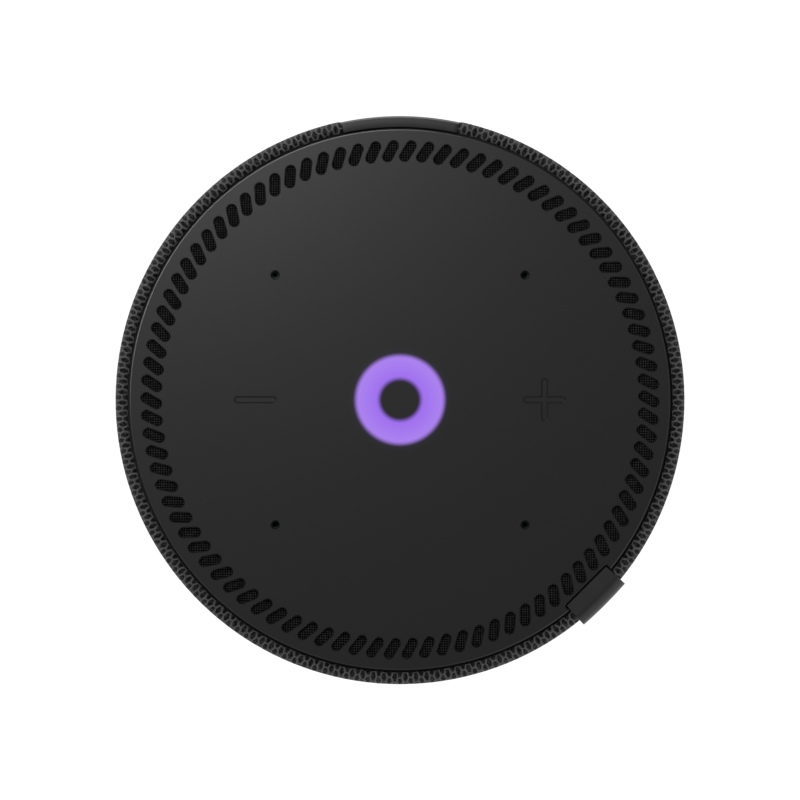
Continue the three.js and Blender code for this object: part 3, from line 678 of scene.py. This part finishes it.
def build_sleeve():
    """Knits the sleeve: sunken cells on the profile, turned round from one side of the spine to the other."""
    profile = sleeve_profile()
    along = np.concatenate([[0], np.cumsum(np.linalg.norm(np.diff(profile, axis=0), axis=1))])
    slope = np.gradient(profile, along, axis=0)
    outward = np.stack([-slope[:, 1], slope[:, 0]], axis=1)
    outward /= np.linalg.norm(outward, axis=1)[:, None]

    overlap = 0.1
    opening = math.asin((SPINE_HALF - overlap) / BODY_RADIUS)
    start, sweep = math.pi / 2 + opening, 2 * math.pi - 2 * opening
    columns, rows = round(sweep * BODY_RADIUS / COLUMN), round(along[-1] / CELL_HEIGHT)
    lattice, middles, faces, places = honeycomb(columns, rows)
    ends = (lattice[:, 0] == 1) | (lattice[:, 0] == 3 * columns)

    loose = noise.normal(0, LOOSENESS, lattice.shape) * ~ends[:, None]
    turn = start + ((lattice[:, 0] - 1 + loose[:, 0]) / (3 * columns - 1)) * sweep
    down = np.clip((lattice[:, 1] + loose[:, 1]) / 2 * along[-1] / rows, 0, along[-1])
    sunk = CELL_DEPTH * middles * noise.uniform(0.8, 1.2, len(middles)) + HEM * ends
    radius = np.interp(down, along, profile[:, 0]) - sunk * np.interp(down, along, outward[:, 0])
    height = np.interp(down, along, profile[:, 1]) - sunk * np.interp(down, along, outward[:, 1])
    vertices = np.stack([radius * np.cos(turn), radius * np.sin(turn), height], axis=1)
    sleeve = piece("knit_sleeve", vertices.tolist(), faces, smooth=False)
    sleeve.data.shade_smooth()
    sleeve.data.attributes.new("loop", "FLOAT_VECTOR", "CORNER").data.foreach_set("vector", places.ravel())
    dress(sleeve, "knit_fabric", ["fabric_sleeve"])


# --- Shells -----------------------------------------------------------------------------------------------


def inset(outline, distance):
    """A closed outline, drawn anticlockwise, moved inwards along its normals."""
    result = []
    for i, here in enumerate(outline):
        along = Vector(outline[(i + 1) % len(outline)]) - Vector(outline[i - 1])
        normal = Vector((-along.y, along.x)).normalized()
        result.append(tuple(Vector(here) + normal * distance))
    return result


def loft(name, rings):
    """A closed solid through rings of points that match one to one."""
    count = len(rings[0])
    vertices = [point for ring in rings for point in ring]
    faces = []
    for i in range(len(rings) - 1):
        low, high = i * count, (i + 1) * count
        for j in range(count):
            k = (j + 1) % count
            faces.append((low + j, high + j, high + k, low + k))
    faces.append(tuple(range(count)))
    faces.append(tuple(range(len(vertices) - count, len(vertices))))
    return clean(piece(name, vertices, faces, smooth=False))


def build_spine():
    """The rear spine: a channel swept round, with eased ends, the inlet's well and the button's hole."""
    inner, shell, soft = SLEEVE_LIP - 0.1, SPINE_SHELL, 0.3
    section = rounded([
        (inner, SPINE_FOOT, soft),
        (SPINE_RADIUS, SPINE_FOOT, SPINE_EDGE),
        (SPINE_RADIUS, SPINE_TOP - SPINE_RISE, soft),
        (SPINE_RADIUS - SPINE_LEDGE, SPINE_TOP, soft / 2),
        (inner, SPINE_TOP, soft),
        (inner, SPINE_TOP - SPINE_FLANGE, 0),
        (shell, SPINE_TOP - SPINE_FLANGE, 0),
        (shell, SPINE_FOOT + SPINE_FLANGE, 0),
        (inner, SPINE_FOOT + SPINE_FLANGE, 0),
    ], SPINE_EDGE, 5)
    half, ease, steps = math.asin(SPINE_HALF / SPINE_RADIUS), SPINE_EASE, 40
    end = []
    for i in range(5):
        turn = math.pi / 2 * i / 4
        angle = half - ease * (1 - math.sin(turn)) / SPINE_RADIUS
        end.append((angle, ease * (1 - math.sin(math.pi / 2 - turn))))
    body = [((half - ease / SPINE_RADIUS) * (1 - 2 * i / steps), 0.0) for i in range(1, steps)]
    stations = [*reversed(end), *body, *[(-angle, drop) for angle, drop in end]]
    rings = []
    for angle, drop in stations:
        ring = inset(section, drop)
        rings.append([(r * math.sin(angle), r * math.cos(angle), height) for r, height in ring])
    spine = loft("spine_cover", rings)

    well = [(0, WELL_BACK), (WELL_OUTER, WELL_BACK), (WELL_OUTER, WELL_FRONT), (0, WELL_FRONT)]
    combine(spine, turned_along_y("well", well, JACK_HEIGHT), "UNION")
    behind, ahead = 50, 70
    holes = [("inlet", WELL_BORE, JACK_HEIGHT), ("button_hole", MUTE_RADIUS + HOLE_GAP, MUTE_HEIGHT)]
    for name, radius, height in holes:
        flared = [
            (0, behind),
            (radius, behind),
            (radius, SPINE_RADIUS - HOLE_LEAD),
            (radius + HOLE_LEAD, SPINE_RADIUS + 0.05),
            (radius + HOLE_LEAD, ahead),
            (0, ahead),
        ]
        combine(spine, turned_along_y(name, flared, height), "DIFFERENCE")
    soften_clean(spine)
    dress(spine, "spine_plastic", ["rear_spine"])


def build_tag():
    """A flat band that rises in the notch, turns over the rim and hangs down the side."""
    band = TAG_BAND
    top, inside, outside = TOP - band / 2, TAG_INNER + band / 2, TAG_OUTER - band / 2
    root, end = PLATE_BASE - 0.45, TOP - TAG_DROP + band
    line = [(inside, root), (inside, top), (outside - TAG_BEND - band / 2, top)]
    line += arc((outside - TAG_BEND, top - TAG_BEND), TAG_BEND, 90, 0, 20)
    line += [(outside, end + band), (outside, end)]

    # The section is drawn two units wide and then stretched to the tag's width, except near its corners.
    section = rounded([(-1, -band / 2), (1, -band / 2), (1, band / 2), (-1, band / 2)], TAG_EDGE, 3)
    fine = []
    for (t0, n0), (t1, n1) in zip(section, section[1:] + section[:1]):
        steps = 12 if abs(t1 - t0) > 1 else 1
        fine += [(t0 + (t1 - t0) * i / steps, n0 + (n1 - n0) * i / steps) for i in range(steps)]
    rings = []
    for i, point in enumerate(line):
        before = (Vector(point) - Vector(line[max(i - 1, 0)])).normalized()
        after = (Vector(line[min(i + 1, len(line) - 1)]) - Vector(point)).normalized()
        along = (before + after).normalized()
        mitre = 1 / max(along.dot(before), along.dot(after))
        share = min(max((point[0] - inside) / (outside - inside), 0), 1)
        half = (TAG_WIDTH + TAG_FLARE * share) / 2
        ring = []
        for t, n in fine:
            side = t * half
            if abs(t) > 0.9:
                side = math.copysign(half - (1 - abs(t)), t)
            bulge = TAG_BULGE * share * (1 - t * t)
            ring.append((point[0] - along.y * n * mitre + bulge, side, point[1] + along.x * n * mitre))
        rings.append(ring)
    tag = loft("rim_tag", rings)
    tag.data.transform(Matrix.Rotation(TAG_ANGLE, 4, "Z"))
    soften(tag)
    dress(tag, "tag_elastomer", ["side_tag"])


def build_base():
    """The base shell, with a groove that holds the foot."""
    soft = 0.3
    section = rounded([
        (0, BASE_FOOT, 0),
        (FOOT_INNER - FOOT_GAP, BASE_FOOT, soft),
        (FOOT_INNER - FOOT_GAP, FOOT_GROOVE, 0),
        (FOOT_RADIUS + FOOT_GAP, FOOT_GROOVE, 0),
        (FOOT_RADIUS + FOOT_GAP, BASE_FOOT, soft),
        (BASE_RADIUS, BASE_FOOT, BASE_EDGE),
        (BASE_RADIUS, BASE_TOP, soft),
        (0, BASE_TOP, 0),
    ], BASE_EDGE, 5)
    dress(turned("base_shell", section), "trim_plastic", ["base_plate"])
    foot = [(FOOT_INNER, 0), (FOOT_RADIUS, 0), (FOOT_RADIUS, FOOT_TOP), (FOOT_INNER, FOOT_TOP)]
    dress(turned("foot_pad", rounded(foot, FOOT_EDGE, 4)), "black_rubber", ["foot_ring"])


def build_rear_controls():
    """The mute button with its dished cap, and the power inlet with its pin."""
    neck, dish_edge = MUTE_FACE - CAP_DEPTH, MUTE_RADIUS - 0.9
    key = rounded([
        (0, STEM_BACK, 0),
        (STEM_RADIUS, STEM_BACK, 0.2),
        (STEM_RADIUS, neck, 0),
        (MUTE_RADIUS, neck, 0.1),
        (MUTE_RADIUS, MUTE_FACE, 0.35),
        (dish_edge, MUTE_FACE, 0.4),
        (MUTE_RADIUS * 0.4, MUTE_FACE - CAP_DISH, 0.8),
        (0, MUTE_FACE - CAP_DISH, 0),
    ], 0.3, 4)
    button = turned_along_y("mute_key", key, MUTE_HEIGHT)
    dress(button, "spine_plastic", ["mute_button"], "mute_control")

    back = reach("power_jack", 0, 1)
    floor = back + JACK_FLOOR
    socket = rounded([
        (JACK_RADIUS, back, 0.1),
        (JACK_RADIUS, JACK_FACE, 0.3),
        (JACK_BORE, JACK_FACE, 0.35),
        (JACK_BORE, floor, 0),
        (0, floor, 0),
        (0, back, 0),
    ], 0.2, 4)
    dress(turned_along_y("inlet_socket", socket, JACK_HEIGHT), "trim_plastic", ["power_jack"])

    back, front = reach("power_jack_pin", 0, 1), reach("power_jack_pin", 1, 1)
    pin = [(0, back, 0), (PIN_RADIUS, back, 0), (PIN_RADIUS, front, PIN_TIP), (0, front, 0)]
    pin = turned_along_y("inlet_pin", rounded(pin, PIN_TIP, 5), JACK_HEIGHT, PIN_TURN)
    dress(pin, "contact_metal", ["power_jack_pin"])


build_plate()
build_window()
build_slot_mesh()
build_sleeve()
build_spine()
build_tag()
build_base()
build_rear_controls()

# --- Studio -----------------------------------------------------------------------------------------------

# The studio is in metres. What the picture spans is at the plate's height.
CAMERA_HEIGHT, FRAME_WIDTH, CAMERA_OFFSET = 4.0, 0.1826, (0.0, -0.00006)
FLOOR_SIZE, FLOOR_DROP, FLOOR_GLOW = 2.4, 0.0001, 0.95

# Azimuths are in degrees from the right, anticlockwise, and elevations in degrees. The lamp hangs over the
# rear left of the hub.
LAMP_AZIMUTH, LAMP_ELEVATION, LAMP_DISTANCE, LAMP_SIZE, LAMP_POWER = 120, 73, 0.52, 0.08, 0.30

# Patches of light in the sky. A patch's spread is two cosines of the angle from its middle: where it's gone,
# and where it's full. The strip also fades out upwards, between two heights of a unit direction.
STRIP_AZIMUTH, STRIP_ELEVATION, STRIP_SPREAD, STRIP_LIGHT = 130, 0, (0.55, 0.88), 11.0
STRIP_FULL, STRIP_TOP = -0.05, 0.01
FILL_AZIMUTH, FILL_ELEVATION, FILL_SPREAD, FILL_LIGHT = 315, 25, (0.75, 0.97), 0.66
HORIZON_LIGHT, ROOM_LIGHT, ROOM_HEIGHT, BACKDROP_LIGHT = 0.3, 0.27, 0.6, 1.0


def build_floor():
    """A pale floor that glows, so that no shadow shows. The low strip of light shows past its edge."""
    bpy.ops.mesh.primitive_plane_add(size=FLOOR_SIZE, location=(0, 0, -FLOOR_DROP))
    floor = bpy.context.object
    floor.name = "studio_floor"
    look = Look("studio_floor", (0.5, 0.5, 0.5), 0.9, specular=0.0)
    look.shade(look.mix(look.noise(0.01), (0.48, 0.48, 0.48), (0.52, 0.52, 0.52)))
    look.shader.inputs["Emission Color"].default_value = (1, 1, 1, 1)
    look.shader.inputs["Emission Strength"].default_value = FLOOR_GLOW
    floor.data.materials.append(look.material)


def facing(azimuth, elevation):
    """The unit direction at an azimuth and elevation in degrees."""
    turn, rise = math.radians(azimuth), math.radians(elevation)
    return Vector((math.cos(turn) * math.cos(rise), math.sin(turn) * math.cos(rise), math.sin(rise)))


def soft_light(name, azimuth, elevation, distance, size, power):
    """A round lamp aimed at the top of the hub."""
    target = Vector((0, 0, TOP * MM))
    offset = facing(azimuth, elevation) * distance
    data = bpy.data.lights.new(name, "AREA")
    data.shape = "DISK"
    data.size = size
    data.energy = power
    light = bpy.data.objects.new(name, data)
    light.location = target + offset
    light.rotation_euler = offset.to_track_quat("Z", "Y").to_euler()
    light.visible_camera = False
    bpy.context.scene.collection.objects.link(light)


def build_sky():
    """An even room, with a strip of light low at the rear left and a fill at the front right."""
    world = bpy.data.worlds.new("studio")
    world.use_nodes = True
    nodes, links = world.node_tree.nodes, world.node_tree.links
    direction = nodes.new("ShaderNodeTexCoord").outputs["Generated"]

    def blend(source, low, high, to_low, to_high):
        """A smooth change from one value to another as the source goes from low to high."""
        node = nodes.new("ShaderNodeMapRange")
        node.interpolation_type = "SMOOTHSTEP"
        links.new(source, node.inputs["Value"])
        for name, value in (("From Min", low), ("From Max", high), ("To Min", to_low), ("To Max", to_high)):
            node.inputs[name].default_value = value
        return node.outputs["Result"]

    def combined(operation, a, b):
        node = nodes.new("ShaderNodeMath")
        node.operation = operation
        links.new(a, node.inputs[0])
        links.new(b, node.inputs[1])
        return node.outputs[0]

    def patch(azimuth, elevation, spread, light):
        """A round patch of light with a soft edge."""
        toward = nodes.new("ShaderNodeVectorMath")
        toward.operation = "DOT_PRODUCT"
        links.new(direction, toward.inputs[0])
        toward.inputs[1].default_value = facing(azimuth, elevation)
        return blend(toward.outputs["Value"], *spread, 0.0, light)

    split = nodes.new("ShaderNodeSeparateXYZ")
    links.new(direction, split.inputs[0])
    height = split.outputs[2]
    room = blend(height, 0.0, ROOM_HEIGHT, HORIZON_LIGHT, ROOM_LIGHT)
    strip = patch(STRIP_AZIMUTH, STRIP_ELEVATION, STRIP_SPREAD, STRIP_LIGHT)
    strip = combined("MULTIPLY", strip, blend(height, STRIP_FULL, STRIP_TOP, 1.0, 0.0))
    fill = patch(FILL_AZIMUTH, FILL_ELEVATION, FILL_SPREAD, FILL_LIGHT)
    total = combined("ADD", combined("ADD", room, strip), fill)

    # The camera itself sees an even pale backdrop.
    seen = nodes.new("ShaderNodeMix")
    links.new(nodes.new("ShaderNodeLightPath").outputs["Is Camera Ray"], seen.inputs["Factor"])
    links.new(total, seen.inputs["A"])
    seen.inputs["B"].default_value = BACKDROP_LIGHT
    links.new(seen.outputs["Result"], nodes["Background"].inputs["Strength"])
    nodes["Background"].inputs["Color"].default_value = (1, 1, 1, 1)
    bpy.context.scene.world = world


def build_camera():
    """A camera high above the hub, looking straight down."""
    data = bpy.data.cameras.new("camera")
    data.sensor_width = 36
    data.lens = data.sensor_width * (CAMERA_HEIGHT - TOP * MM) / FRAME_WIDTH
    data.clip_end = 10
    camera = bpy.data.objects.new("camera", data)
    camera.location = (*CAMERA_OFFSET, CAMERA_HEIGHT)
    bpy.context.scene.collection.objects.link(camera)
    bpy.context.scene.camera = camera
    bpy.context.scene.view_settings.view_transform = "Standard"


build_floor()
build_sky()
soft_light("sheen", LAMP_AZIMUTH, LAMP_ELEVATION, LAMP_DISTANCE, LAMP_SIZE, LAMP_POWER)
build_camera()
